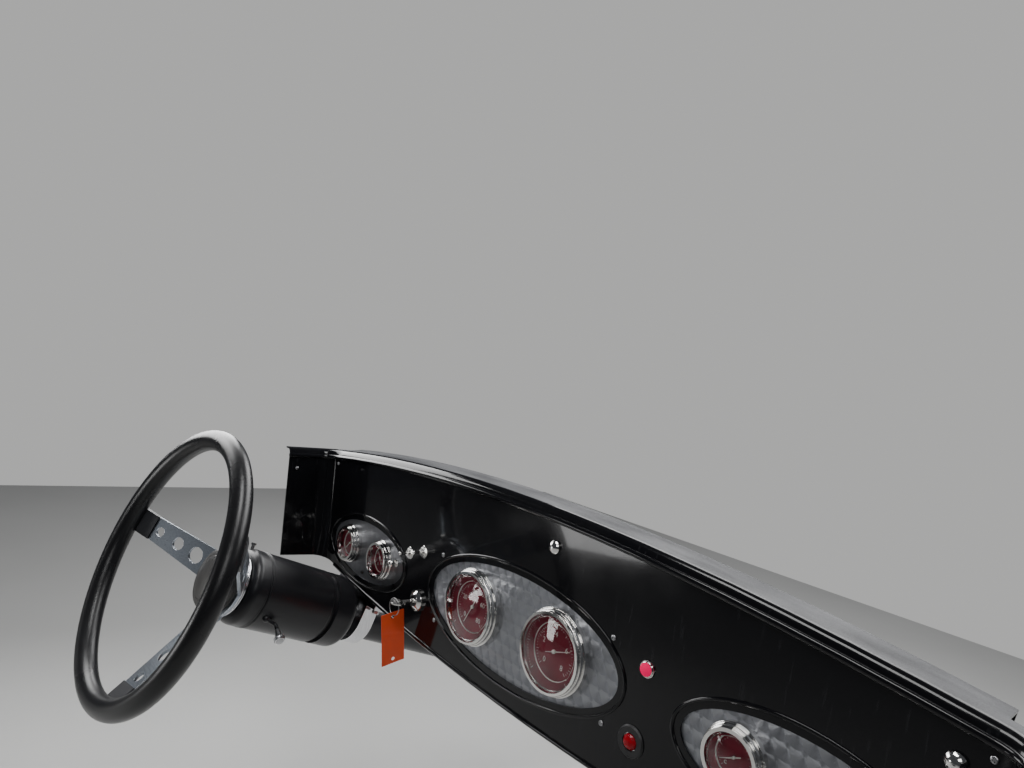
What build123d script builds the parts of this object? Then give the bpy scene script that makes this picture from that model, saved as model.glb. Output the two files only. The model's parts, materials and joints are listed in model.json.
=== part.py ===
from build123d import *
from math import asin, cos, degrees, radians, sin, sqrt
import os

# Hot rod dashboard with its gauges, steering column and steering wheel, in millimetres.
# +X points to the passenger's side, +Y forward to the windscreen and +Z up.
# The origin lies midway between the two outer cowl bolts, on the flange's front face.

# Pressed steel panel
sheet = 2.0
ledge_reach = 40.0          # from the face of the panel forward to the cowl flange
flat_half = 450.0           # half width of the flat face at its top edge
end_lean = 8.4              # degrees by which each end leans outward at its top
end_bend = 26.0             # radius of the bend at each end
end_turn = 85.0             # degrees turned by that bend
end_run = 48.0              # flat run behind the bend
end_lip = 10.0              # lip on top of each end
face_above = 129.0          # face above the gauge line, on the centre
face_below = 87.0           # face below the gauge line, on the centre
bottom_r = 3400.0           # radius of the bowed bottom edge
bead_r = 3.5                # round bead along the top of the face
bead_up = 6.0               # bead centre above the face's top edge
roll_r = 10.0               # roll from the face to the ledge
roll_up = 8.0               # start of the roll above the face's top edge
ledge_rise = 5.0            # degrees by which the ledge climbs forward
flange_down = 22.0          # cowl flange, turned down from the ledge
hem_r = 3.2                 # rolled hem on the bottom edge
hem_flange = 30.0
hem_half = 416.0
trim = 20.0                 # pressed below the bottom edge, then cut away
row_tilt = 1.5              # degrees by which the gauge row climbs to the passenger's side

# Cowl bolts in the flange
bolt_hole_r = 2.75
outer_bolt_x = 330.0
inner_bolt_x = 110.0
bolt_drop = 11.0            # bolt centre below the top of the flange

# A side opening runs from its inner end, from the panel's centre, to near the end of the flat
side_inner = 229.0
side_edge = 21.0
side_half = (flat_half - side_edge - side_inner) / 2
side_x = side_inner + side_half
# Oval inserts: name, centre x and z from the gauge line, half width and height of the opening,
# and reach of the insert behind the panel round it
oval_rows = [
    ("centre_insert", 0.0, 0.0, 156.0, 59.5, 22.0),
    ("left_insert", -side_x, -5.0, side_half, 41.0, 11.0),
    ("right_insert", side_x, -5.0, side_half, 41.0, 11.0),
]
insert_t = 2.0
ring_gaps = (4.5, 8.5)      # embossed rings, centre line outside the opening's edge
ring_half = 1.8
ring_high = 1.8
ring_round = 1.4

# Gauges: name, centre pitch, glass radius, bezel radius, case radius, case depth, height of bezel,
# and the needle's angle
large_gauge = ("large", 140.0, 40.5, 45.4, 42.0, 52.0, 12.0, 0.0)
small_gauge = ("small", 92.0, 23.0, 28.5, 26.0, 45.0, 12.0, 225.0)
case_clear = 0.4
dial_t = 0.8
glass_t = 1.6
glass_dome = 1.6
needle_t = 0.8

# Lamps, lock, switches and knobs: x and z from the gauge line
pilot_at = (187.0, 29.0)
jewel_at = (180.0, -42.0)
lock_at = (-184.0, -30.0)
switch_rows = [(-217.0, 24.0), (-186.0, 34.0)]
insert_knob_at = (-side_inner - 18.0, 1.0)
knob_rows = [(49.0, 105.0), (flat_half - 15.0, 68.0)]
pilot_r = 4.9
jewel_r = 8.0
jewel_plate_r = 15.0
lock_r = 13.0
lock_body_r = 10.0
switch_r = 4.0
knob_r = 7.2
knob_edge = 2.5
knob_dome = 4.0
stem_r = 3.0
stem_long = 12.0
fit_gap = 0.2               # radial gap of a stem or lens in its hole

# Key, ring and tag
key_t = 2.4
key_wide = 8.0
key_reach = 15.5
bow_r = 10.0
bow_hole_r = 3.0
key_ring_r = 11.0
key_wire_r = 0.9
tag_wide = 34.0
tag_high = 71.0
tag_t = 0.8
tag_hole_r = 2.5
tag_margin = 6.0
tag_swing = 11.0            # degrees by which the tag's foot swings forward

# Steering column: place of the wheel's centre, then its axis
wheel_in = 105.0            # wheel centre in from the driver's end of the flat face
wheel_back = 278.0          # wheel centre behind the panel's face
wheel_drop = 13.0            # wheel centre below the gauge line
rake = 19.0                 # degrees the column runs down going forward
splay = 2.0                 # degrees it runs outward going forward
shaft_r = 9.5
shaft_fit = 0.05
tube_r = 28.6
tube_wall = 3.0
jacket_r = 50.4
jacket_wall = 3.0
hub_at = 92.5               # distances along the column from the wheel's plane
adapter_end = 99.5
bowl_at = 101.0
bowl_plate = 8.0
bowl_round = 12.0
seam_at = 128.0
collar_at = 231.0
collar_neck = 8.0           # narrow neck between the shroud and the collar
collar_neck_r = 46.0
collar_end = 276.0
drop_at = 291.5
drop_long = 24.0
drop_wall = 9.0             # round the tube
drop_wide = 116.0           # cross bar under the panel
drop_bar = 22.0
drop_bar_at = 37.0          # bar's centre above the tube's
shaft_end = 884.0
shaft_out = 42.0            # shaft beyond the tube's end
tube_end = shaft_end - shaft_out
tube_neck_r = 27.8          # turned end of the tube for the floor mount
tube_neck = 60.0
shaft_neck_r = 9.0          # turned end of the shaft for the joint
shaft_neck = 36.0
joint_gap = 0.8             # gap between the column's covers

# Lever on the shroud: a bent stem and a flared knob
lever_at = 141.0
lever_angle = -27.0
lever_ball_r = 4.6
lever_r = 2.6
lever_out = 7.0             # bend of the stem beyond the shroud
lever_forward = 14.0        # and forward of its foot
lever_bend_r = 5.0
lever_stem = 9.0            # from the bend to the knob
# Knob's outline: radius and height
knob_line = [(0, 0), (3.2, 0), (4.4, 11), (7.4, 14.5), (7.4, 16.5), (5.5, 19), (0, 20)]
hazard_at = 107.0
hazard_angle = 98.0

# Steering wheel
rim_r = 164.6
grip_r = 13.2
arm_angles = (172.0, 277.5, 23.0)
arm_t = 4.0
hub_r = 46.0
arm_in = 41.5               # start of the slope, radius from the axis
arm_out_at = 9.0            # depth of the arm under the grip's centre line
arm_in_half = 21.8
arm_out_half = 15.2
# Round holes in an arm: distance in from the grip's centre line and radius
arm_holes = [(35.8, 6.5), (64.4, 8.6), (92.0, 11.0)]
sleeve_long = 25.5
sleeve_lip = 1.5            # sleeve beyond each edge of its arm
sleeve_t = 2.0
cap_r = 40.5
cap_high = 30.0
cap_dome = 8.0

# Derived places
slope = radians(ledge_rise)
lean = radians(end_lean)
face_y = -ledge_reach
arch_r = flat_half / sin(lean)
roll_end = (roll_r - roll_r * sin(slope), roll_up + roll_r * cos(slope))
ledge_run = (ledge_reach - roll_end[0]) / cos(slope)
bolt_r = arch_r + roll_end[1] + ledge_run * sin(slope) - bolt_drop
arch_z = -sqrt(bolt_r ** 2 - outer_bolt_x ** 2)
gauge_z = arch_z + arch_r - face_above
bottom_z = gauge_z - face_below + bottom_r
front = Plane((0, face_y, gauge_z), x_dir=(1, 0, 0), z_dir=(0, -1, 0))
face = Plane(front.origin, x_dir=(cos(radians(row_tilt)), 0, sin(radians(row_tilt))), z_dir=(0, -1, 0))
back = face.offset(-sheet)
arch_axis = Axis((0, 0, arch_z), (0, 1, 0))


def laid(x, y, z):
    """Vector given along the gauge row, forward, and up square to the row."""
    return face.x_dir * x - face.z_dir * y + face.y_dir * z


flat = cos(radians(rake))
axis_dir = laid(-sin(radians(splay)) * flat, cos(radians(splay)) * flat, -sin(radians(rake)))
column = Plane(face.origin + laid(wheel_in - flat_half, -wheel_back, -wheel_drop),
               x_dir=laid(-cos(radians(splay)), -sin(radians(splay)), 0), z_dir=axis_dir)
column_axis = Axis(column.origin, axis_dir)
radial = Plane(column.origin, x_dir=column.x_dir, z_dir=-column.y_dir)

os.makedirs("parts", exist_ok=True)


def save(built, name):
    """Label a finished piece and write it under its own name."""
    built.part.label = name
    export_step(built.part, "parts/" + name + ".step")


def panel_section(reach, flange):
    """Bent sheet and bead: x forward from the face, y up from the face's top edge."""
    with BuildLine() as outline:
        Line((0, -face_above - face_below - trim), (0, roll_up))
        CenterArc((roll_r, roll_up), roll_r, 180, ledge_rise - 90)
        tip = (roll_end[0] + reach * cos(slope), roll_end[1] + reach * sin(slope))
        Line(roll_end, tip)
        if flange:
            Line(tip, (tip[0], tip[1] - flange))
        offset(amount=sheet, side=Side.RIGHT)
    make_face(outline.edges())
    with Locations((0, bead_up)):
        Circle(bead_r)


def polar(angle):
    """Radial and tangential directions at an angle in degrees, as the driver sees the wheel."""
    out = column.y_dir * sin(radians(angle)) - column.x_dir * cos(radians(angle))
    return out, axis_dir.cross(out)


# Panel: one end, mirrored for the other, then the arched middle between them
end_start = Plane((flat_half, face_y, arch_z + arch_r * cos(lean)), x_dir=(0, 1, 0),
                  z_dir=(cos(lean), 0, -sin(lean)))
end_axis = Axis(end_start.origin - Vector(0, end_bend, 0), (-sin(lean), 0, -cos(lean)))
with BuildPart() as panel_end:
    with BuildSketch(end_start) as end_sketch:
        panel_section(end_lip, 0)
    revolve(axis=end_axis, revolution_arc=end_turn)
    extrude(panel_end.faces().filter_by(GeomType.PLANE).sort_by(Axis.Y)[0], amount=end_run)

arch_start = Plane((-flat_half, face_y, arch_z + arch_r * cos(lean)), x_dir=(0, 1, 0),
                   z_dir=(cos(lean), 0, sin(lean)))
hem_turn = asin(hem_half / bottom_r)
hem_start = Plane((-hem_half, face_y, bottom_z - bottom_r * cos(hem_turn)), x_dir=(0, 1, 0),
                  z_dir=(cos(hem_turn), 0, -sin(hem_turn)))
with BuildPart() as dash_panel:
    with BuildSketch(arch_start) as arch_sketch:
        panel_section(ledge_run, flange_down)
    revolve(axis=arch_axis, revolution_arc=2 * end_lean)
    add(panel_end.part)
    add(panel_end.part.mirror(Plane.YZ))
    # Bowed bottom edge with its rolled hem and return flange
    with BuildSketch(front) as below:
        with Locations((0, -face_below)):
            Rectangle(3 * flat_half, 2 * face_above)
        with Locations((0, bottom_r - face_below)):
            Circle(bottom_r, mode=Mode.SUBTRACT)
    extrude(amount=ledge_reach * 3, both=True, mode=Mode.SUBTRACT)
    with BuildSketch(hem_start) as hem_sketch:
        with Locations((hem_flange / 2, sheet / 2)):
            Rectangle(hem_flange, sheet)
        with Locations((sheet / 2, 0)):
            Circle(hem_r)
    revolve(axis=Axis((0, 0, bottom_z), (0, -1, 0)), revolution_arc=2 * degrees(hem_turn))
    # Oval openings with their double embossed rings
    with BuildSketch(face) as openings:
        for name, x, z, wide, high, lap in oval_rows:
            with Locations((x, z)):
                Ellipse(wide, high)
    extrude(amount=-sheet, mode=Mode.SUBTRACT)
    with BuildSketch(face) as rings:
        for name, x, z, wide, high, lap in oval_rows:
            for gap in ring_gaps:
                with Locations((x, z)):
                    Ellipse(wide + gap + ring_half, high + gap + ring_half)
                    Ellipse(wide + gap - ring_half, high + gap - ring_half, mode=Mode.SUBTRACT)
            with Locations((x, z)):
                Ellipse(wide, high, mode=Mode.SUBTRACT)
    extrude(amount=ring_high)
    fillet(dash_panel.edges().filter_by_position(Axis.Y, face_y - ring_high - 0.01, face_y - ring_high + 0.01),
           ring_round)
    # Holes for lamps, lock, switches and knobs
    with BuildSketch(face) as holes:
        with Locations(pilot_at):
            Circle(pilot_r + fit_gap)
        with Locations(jewel_at):
            Circle(jewel_r + fit_gap)
        with Locations(lock_at):
            Circle(lock_body_r + fit_gap)
        with Locations(switch_rows):
            Circle(switch_r + fit_gap)
        with Locations(knob_rows):
            Circle(stem_r + fit_gap)
    extrude(amount=-sheet, mode=Mode.SUBTRACT)
    # Cowl bolt holes along the arched flange
    with BuildSketch(Plane((0, 0, arch_z), x_dir=(1, 0, 0), z_dir=(0, -1, 0))) as bolts:
        for x in (-outer_bolt_x, -inner_bolt_x, inner_bolt_x, outer_bolt_x):
            with Locations((x, sqrt(bolt_r ** 2 - x ** 2))):
                Circle(bolt_hole_r)
    extrude(amount=sheet, mode=Mode.SUBTRACT)
save(dash_panel, "dash_panel")


def on_face(x, z):
    """Plane on the panel's face at a place from the gauge line, its normal to the driver."""
    return Plane(face.origin + face.x_dir * x + face.y_dir * z, x_dir=face.x_dir, z_dir=face.z_dir)


def place(piece, spots, name):
    """Copies of a piece made about Z, one on each plane, as one named node."""
    with BuildPart() as placed:
        with Locations(*spots):
            add(piece.part)
    save(placed, name)


def ring_of(inner, outer, low, high):
    """Rectangle of a turned section, between two radii and two heights."""
    with Locations(((inner + outer) / 2, (low + high) / 2)):
        Rectangle(outer - inner, high - low)


def domed(radius, low, high, rise, mode=Mode.ADD):
    """Half section of a round piece with a domed top."""
    crown = (radius ** 2 + rise ** 2) / (2 * rise)
    half = degrees(asin(radius / crown))
    with BuildLine() as outline:
        Polyline((0, high + rise), (0, low), (radius, low), (radius, high))
        CenterArc((0, high + rise - crown), crown, 90 - half, half)
    make_face(outline.edges(), mode=mode)


# Gauge places on the face: size name, x, z and case radius
gauge_rows = []
for size, pitch, glass_r, bezel_r, case_r, deep, proud, needle_angle in (large_gauge, small_gauge):
    for name, x, z, wide, high, lap in oval_rows:
        if (name == "centre_insert") == (size == "large"):
            gauge_rows += [(size, x - pitch / 2, z, case_r), (size, x + pitch / 2, z, case_r)]

# Aluminium inserts behind the openings, with holes for the gauges
for name, x, z, wide, high, lap in oval_rows:
    with BuildPart() as insert:
        with BuildSketch(back) as insert_sketch:
            with Locations((x, z)):
                Ellipse(wide + lap, high + lap)
            for size, gauge_x, line_z, case_r in gauge_rows:
                if abs(gauge_x - x) < wide:
                    with Locations((gauge_x, line_z)):
                        Circle(case_r + case_clear, mode=Mode.SUBTRACT)
            if abs(insert_knob_at[0] - x) < wide:
                with Locations(insert_knob_at):
                    Circle(stem_r + fit_gap, mode=Mode.SUBTRACT)
        extrude(amount=-insert_t)
    save(insert, name)

# Gauges of both sizes: cases, dials, needles, glasses and bezels
for size, pitch, glass_r, bezel_r, case_r, deep, proud, needle_angle in (large_gauge, small_gauge):
    spots = [on_face(x, z) for kind, x, z, r in gauge_rows if kind == size]
    glass_low = proud - 5.0
    seat = glass_low + glass_t + fit_gap
    edge = glass_r - fit_gap
    first = 0.3 * proud
    second = 0.7 * proud
    with BuildPart() as case:
        with BuildSketch(Plane.XZ) as case_sketch:
            ring_of(0, case_r, -deep, 0)
        revolve()
        fillet(case.edges().filter_by(GeomType.CIRCLE).sort_by(Axis.Z)[0], 3)
        with Locations((case_r / 3, 0, -deep), (-case_r / 3, 0, -deep)):
            Cylinder(2.5, 14, align=(Align.CENTER, Align.CENTER, Align.MAX))
    place(case, spots, size + "_gauge_cases")
    with BuildPart() as dial:
        Cylinder(edge, dial_t, align=(Align.CENTER, Align.CENTER, Align.MIN))
    place(dial, spots, size + "_gauge_dials")
    with BuildPart() as needle:
        with Locations((0, 0, dial_t)):
            Cylinder(0.09 * glass_r, 2.4, align=(Align.CENTER, Align.CENTER, Align.MIN))
        with BuildSketch(Plane.XY.offset(dial_t + 1)) as pointer:
            Polygon((-0.2 * glass_r, -1.1), (0.72 * glass_r, -0.35), (0.72 * glass_r, 0.35),
                    (-0.2 * glass_r, 1.1), align=None, rotation=needle_angle)
        extrude(amount=needle_t)
    place(needle, spots, size + "_gauge_needles")
    with BuildPart() as glass:
        with BuildSketch(Plane.XZ) as glass_sketch:
            domed(edge, glass_low, glass_low + glass_t, glass_dome)
            domed(edge, glass_low - 1, glass_low, glass_dome, Mode.SUBTRACT)
        revolve()
    place(glass, spots, size + "_gauge_glasses")
    with BuildPart() as bezel:
        with BuildSketch(Plane.XZ) as bezel_sketch:
            Polygon((case_r + case_clear, -sheet), (bezel_r, -sheet), (bezel_r, first),
                    (bezel_r - 1.6, first), (bezel_r - 1.6, second), (bezel_r - 3, second),
                    (bezel_r - 3, proud), (glass_r - 1.2, proud), (glass_r - 1.2, seat),
                    (glass_r, seat), (glass_r, 0), (case_r + case_clear, 0), align=None)
            fillet(bezel_sketch.vertices().filter_by_position(Axis.Y, first - 0.1, proud + 0.1)
                   .filter_by_position(Axis.X, glass_r + 0.5, bezel_r + 0.1), 0.6)
        revolve()
    place(bezel, spots, size + "_gauge_bezels")

# Lamps
with BuildPart() as pilot_ring:
    with BuildSketch(Plane.XZ) as pilot_section:
        ring_of(pilot_r, pilot_r + 2.2, 0, 3)
    revolve()
    fillet(pilot_ring.edges().filter_by(GeomType.CIRCLE).group_by(Axis.Z)[-1], 0.9)
place(pilot_ring, [on_face(*pilot_at)], "pilot_lamp_ring")
with BuildPart() as pilot_lens:
    with BuildSketch(Plane.XZ) as lens_section:
        domed(pilot_r - fit_gap / 2, -8, 2.2, 3)
    revolve()
place(pilot_lens, [on_face(*pilot_at)], "pilot_lamp_lens")
with BuildPart() as jewel_plate:
    with BuildSketch(Plane.XZ) as plate_section:
        ring_of(jewel_r + fit_gap, jewel_plate_r, 0, 2.5)
    revolve()
    chamfer(jewel_plate.edges().filter_by(GeomType.CIRCLE).group_by(Axis.Z)[-1].sort_by(SortBy.RADIUS)[-1], 1.5)
place(jewel_plate, [on_face(*jewel_at)], "jewel_lamp_plate")
with BuildPart() as jewel:
    Cylinder(jewel_r, 12, align=(Align.CENTER, Align.CENTER, Align.MAX))
    with BuildSketch(Plane.XY) as girdle:
        RegularPolygon(jewel_r, 10)
    extrude(amount=4)
    with BuildSketch(Plane.XY.offset(4)) as crown_sketch:
        RegularPolygon(jewel_r, 10)
    extrude(amount=3, taper=38)
place(jewel, [on_face(*jewel_at)], "jewel_lamp_lens")

# Switches, knobs and the ball knob on the left insert
with BuildPart() as switch:
    Cylinder(switch_r, 24, align=(Align.CENTER, Align.CENTER, Align.MAX))
    with BuildSketch() as nut:
        RegularPolygon(6.5, 6)
    extrude(amount=2.4)
    with Locations((0, 0, 2.4)):
        Cylinder(switch_r, 2.6, align=(Align.CENTER, Align.CENTER, Align.MIN))
    with Locations((0, 0, 5)):
        Cone(1.4, 2.2, 11, align=(Align.CENTER, Align.CENTER, Align.MIN))
    with Locations((0, 0, 16)):
        Sphere(2.4)
place(switch, [on_face(*spot) for spot in switch_rows], "dash_switches")
with BuildPart() as knob:
    with BuildSketch(Plane.XZ) as knob_section:
        domed(knob_r, 0, knob_edge, knob_dome)
        ring_of(0, stem_r, -stem_long, 0)
    revolve()
place(knob, [on_face(*spot) for spot in knob_rows], "dash_knobs")
with BuildPart() as ball_knob:
    Cylinder(stem_r, 14, align=(Align.CENTER, Align.CENTER, Align.MAX))
    with Locations((0, 0, -sheet)):
        Cylinder(stem_r + 2, 2, align=(Align.CENTER, Align.CENTER, Align.MIN))
        Cylinder(2, 7, align=(Align.CENTER, Align.CENTER, Align.MIN))
    with Locations((0, 0, 8)):
        Sphere(5)
place(ball_knob, [on_face(*insert_knob_at)], "insert_knob")

# Ignition lock with its key, ring and blank tag
lock_top = 7.0
with BuildPart() as lock:
    with BuildSketch(Plane.XZ) as lock_section:
        domed(lock_r, 0, 2, 7)
        ring_of(0, lock_body_r, -32, 0)
    revolve()
    with Locations((0, 0, lock_top)):
        Cylinder(lock_r, 5, align=(Align.CENTER, Align.CENTER, Align.MIN), mode=Mode.SUBTRACT)
        Box(key_wide + 2 * fit_gap, key_t + 2 * fit_gap, 6, mode=Mode.SUBTRACT,
            align=(Align.CENTER, Align.CENTER, Align.MAX))
place(lock, [on_face(*lock_at)], "ignition_lock")
lock_spot = on_face(*lock_at)
bow_at = lock_top + key_reach + bow_r - 1.5
bow_centre = lock_spot.origin + lock_spot.z_dir * bow_at
with BuildPart() as key:
    with BuildSketch(Plane(bow_centre, x_dir=(0, -1, 0), z_dir=face.y_dir)) as key_sketch:
        with Locations((lock_top - 5 - bow_at, 0)):
            Rectangle(key_reach + 8, key_wide, align=(Align.MIN, Align.CENTER))
        Circle(bow_r)
        Circle(bow_hole_r, mode=Mode.SUBTRACT)
    extrude(amount=key_t / 2, both=True)
save(key, "ignition_key")
# The ring hangs through the bow's hole and round its edge, the tag at the ring's lowest point
ring_side = (bow_hole_r + bow_r) / 2
ring_top = sqrt(key_ring_r ** 2 - ((bow_r - bow_hole_r) / 2) ** 2)
ring_drop = ring_top - key_wire_r - key_t / 2 - fit_gap
ring_centre = bow_centre - Vector(ring_side, 0, ring_drop)
with BuildPart(Plane(ring_centre, z_dir=(0, 1, 0))) as key_ring:
    Torus(key_ring_r, key_wire_r)
save(key_ring, "key_ring")
tag_hole_drop = key_ring_r + tag_hole_r - key_wire_r - fit_gap
with BuildPart() as key_tag:
    with BuildSketch(Plane(ring_centre - Vector(0, 0, tag_hole_drop),
                           x_dir=(0, -cos(radians(tag_swing)), -sin(radians(tag_swing))),
                           z_dir=(-1, 0, 0))) as tag_sketch:
        with Locations((0, tag_margin - tag_high / 2)):
            Rectangle(tag_wide, tag_high)
        with Locations((0, 0), (0, 2 * tag_margin - tag_high)):
            Circle(tag_hole_r, mode=Mode.SUBTRACT)
    extrude(amount=tag_t / 2, both=True)
save(key_tag, "key_tag")

# Steering column covers, drawn as radius and distance from the wheel's plane
with BuildPart() as bowl:
    with BuildSketch(radial) as bowl_section:
        with BuildLine():
            Polyline((shaft_r + shaft_fit, bowl_at), (jacket_r - bowl_round, bowl_at))
            CenterArc((jacket_r - bowl_round, bowl_at + bowl_round), bowl_round, 270, 90)
            Polyline((jacket_r, bowl_at + bowl_round), (jacket_r, seam_at - joint_gap),
                     (jacket_r - jacket_wall, seam_at - joint_gap),
                     (jacket_r - jacket_wall, bowl_at + bowl_round),
                     (jacket_r - bowl_round, bowl_at + bowl_plate),
                     (shaft_r + shaft_fit, bowl_at + bowl_plate), (shaft_r + shaft_fit, bowl_at))
        make_face()
    revolve(axis=column_axis)
save(bowl, "column_bowl")
with BuildPart() as shroud:
    with BuildSketch(radial) as shroud_section:
        ring_of(jacket_r - jacket_wall, jacket_r, seam_at, collar_at - joint_gap)
    revolve(axis=column_axis)
    fillet(shroud.edges().filter_by(GeomType.CIRCLE).sort_by(SortBy.RADIUS)[-2:], 1)
save(shroud, "column_shroud")
with BuildPart() as collar:
    with BuildSketch(radial) as collar_section:
        ring_of(tube_r + fit_gap, jacket_r, collar_at + collar_neck, collar_end)
        fillet(collar_section.vertices().sort_by(lambda v: v.X + v.Y)[-1], 12)
        ring_of(tube_r + fit_gap, collar_neck_r, collar_at, collar_at + collar_neck)
    revolve(axis=column_axis)
save(collar, "column_collar")
with BuildPart() as tube:
    with BuildSketch(radial) as tube_section:
        ring_of(tube_r - tube_wall, tube_r, bowl_at + bowl_plate, tube_end - tube_neck)
        ring_of(tube_r - tube_wall, tube_neck_r, tube_end - tube_neck, tube_end)
    revolve(axis=column_axis)
save(tube, "column_tube")
with BuildPart() as bearing:
    with BuildSketch(radial) as bearing_section:
        ring_of(shaft_r + shaft_fit, tube_r - tube_wall - fit_gap / 2, tube_end - 12, tube_end + 3)
        ring_of(shaft_r + shaft_fit, tube_neck_r - 1, tube_end, tube_end + 3)
    revolve(axis=column_axis)
save(bearing, "lower_bearing")

# Polished drop: a clamp round the tube that bolts under the panel's return flange
with BuildPart() as drop:
    with BuildSketch(column.offset(drop_at)) as drop_sketch:
        Circle(tube_r + drop_wall)
        with Locations((0, drop_bar_at)):
            Rectangle(drop_wide, drop_bar)
        with Locations((0, drop_bar_at / 2)):
            Rectangle(2 * (tube_r + drop_wall), drop_bar_at)
        Circle(tube_r + fit_gap / 2, mode=Mode.SUBTRACT)
    extrude(amount=drop_long)
    with BuildSketch(Plane((0, face_y, bottom_z), x_dir=(1, 0, 0), z_dir=(0, -1, 0))) as flange_cut:
        Circle(bottom_r)
    extrude(amount=200, both=True, mode=Mode.SUBTRACT)
save(drop, "column_drop")

# Lever on the shroud's side and push knob on top of the bowl
out, around = polar(lever_angle)
lever_foot = column.origin + axis_dir * lever_at + out * jacket_r
lever_bend = lever_foot + out * lever_out + axis_dir * lever_forward
knob_foot = lever_bend + out * lever_stem
with BuildPart() as lever:
    with Locations(lever_foot):
        Sphere(lever_ball_r)
    with BuildLine() as stem_path:
        FilletPolyline(lever_foot, lever_bend, knob_foot, radius=lever_bend_r)
    with BuildSketch(Plane(lever_foot, z_dir=(lever_bend - lever_foot).normalized())) as stem_section:
        Circle(lever_r)
    sweep()
    with BuildSketch(column.offset(seam_at)) as jacket_cut:
        Circle(jacket_r)
    extrude(amount=4 * lever_ball_r, both=True, mode=Mode.SUBTRACT)
save(lever, "tilt_lever")
with BuildPart() as lever_knob:
    with BuildSketch(Plane.XZ) as knob_outline:
        Polygon(*knob_line, align=None)
    revolve()
place(lever_knob, [Plane(knob_foot, z_dir=out)], "tilt_lever_knob")
out, around = polar(hazard_angle)
hazard_foot = Plane(column.origin + axis_dir * hazard_at + out * jacket_r, z_dir=out)
with BuildPart() as hazard:
    with Locations(hazard_foot.offset(-3)):
        Cylinder(2.2, 7, align=(Align.CENTER, Align.CENTER, Align.MIN))
    with Locations(hazard_foot.offset(4)):
        Cylinder(3.6, 3, align=(Align.CENTER, Align.CENTER, Align.MIN))
    add(bowl.part, mode=Mode.SUBTRACT)
save(hazard, "hazard_knob")

# Steering wheel: shaft, adapter, pressed spokes, grip, sleeves and horn cap
with BuildPart() as shaft:
    with BuildSketch(radial) as shaft_section:
        ring_of(0, shaft_r, hub_at, shaft_end - shaft_neck)
        ring_of(0, shaft_neck_r, shaft_end - shaft_neck, shaft_end)
    revolve(axis=column_axis)
    chamfer(shaft.edges().filter_by(GeomType.CIRCLE).sort_by(column_axis)[-1], 1)
save(shaft, "steering_shaft")
with BuildPart() as adapter:
    with BuildSketch(radial) as adapter_section:
        ring_of(shaft_r + fit_gap / 2, hub_r - 4, hub_at, adapter_end)
    revolve(axis=column_axis)
save(adapter, "hub_adapter")
arm_planes = []
for angle in arm_angles:
    out, around = polar(angle)
    along = (out * (rim_r - arm_in) + axis_dir * (arm_out_at - hub_at + arm_t)).normalized()
    arm_planes.append(Plane(column.origin + out * arm_in + axis_dir * (hub_at - arm_t), x_dir=along,
                            z_dir=along.cross(around)))
arm_long = sqrt((rim_r - arm_in) ** 2 + (hub_at - arm_t - arm_out_at) ** 2)
stretch = arm_long / (rim_r - arm_in)
with BuildPart() as spokes:
    with BuildSketch(column.offset(hub_at - arm_t)) as hub_sketch:
        Circle(hub_r)
    extrude(amount=arm_t)
    for plane in arm_planes:
        with BuildSketch(plane) as arm_sketch:
            Polygon((-5, -arm_in_half), (arm_long, -arm_out_half), (arm_long, arm_out_half),
                    (-5, arm_in_half), align=None)
            for hole_at, hole_r in arm_holes:
                with Locations(((rim_r - hole_at - arm_in) * stretch, 0)):
                    Circle(hole_r, mode=Mode.SUBTRACT)
        extrude(amount=arm_t)
    with BuildSketch(column.offset(hub_at)) as rear_sketch:
        Circle(2 * hub_r)
    extrude(amount=20, mode=Mode.SUBTRACT)
save(spokes, "wheel_spokes")
with BuildPart() as grip:
    with Locations(column):
        Torus(rim_r, grip_r)
    add(spokes.part, mode=Mode.SUBTRACT)
save(grip, "wheel_grip")
with BuildPart() as sleeves:
    for plane in arm_planes:
        with BuildSketch(plane.offset(-sleeve_t)) as sleeve_sketch:
            with Locations(((rim_r - sleeve_long - arm_in) * stretch, 0)):
                Rectangle(sleeve_long * stretch, 2 * (arm_out_half + sleeve_lip),
                          align=(Align.MIN, Align.CENTER))
        extrude(amount=arm_t + 2 * sleeve_t)
    add(spokes.part, mode=Mode.SUBTRACT)
    with Locations(column):
        Torus(rim_r, grip_r, mode=Mode.SUBTRACT)
save(sleeves, "grip_sleeves")
with BuildPart() as cap:
    with BuildSketch(Plane.XZ) as cap_section:
        domed(cap_r, 0, cap_high - cap_dome, cap_dome)
    revolve()
place(cap, [Plane(column.origin + axis_dir * (hub_at - arm_t), x_dir=column.x_dir, z_dir=-axis_dir)],
      "horn_cap")
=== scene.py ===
"""Looks of the hot rod dashboard, its gauges, steering column and wheel.

The model's own frame: +X to the passenger's side, +Y forward, +Z up. Small parts are drawn in
millimetres about their own Z, and everything that is placed in the model is in metres.
"""
import json
from math import cos, pi, radians, sin, tau

import bmesh
import bpy
from mathutils import Matrix, Vector


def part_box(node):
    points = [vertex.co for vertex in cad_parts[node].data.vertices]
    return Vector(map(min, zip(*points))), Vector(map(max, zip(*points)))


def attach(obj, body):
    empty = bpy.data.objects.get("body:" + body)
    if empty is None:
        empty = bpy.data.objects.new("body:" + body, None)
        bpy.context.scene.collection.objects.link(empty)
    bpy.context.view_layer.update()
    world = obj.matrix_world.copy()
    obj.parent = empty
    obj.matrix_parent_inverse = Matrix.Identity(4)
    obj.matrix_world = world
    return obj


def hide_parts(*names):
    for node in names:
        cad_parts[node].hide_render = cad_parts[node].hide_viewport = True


MM = 0.001

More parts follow.
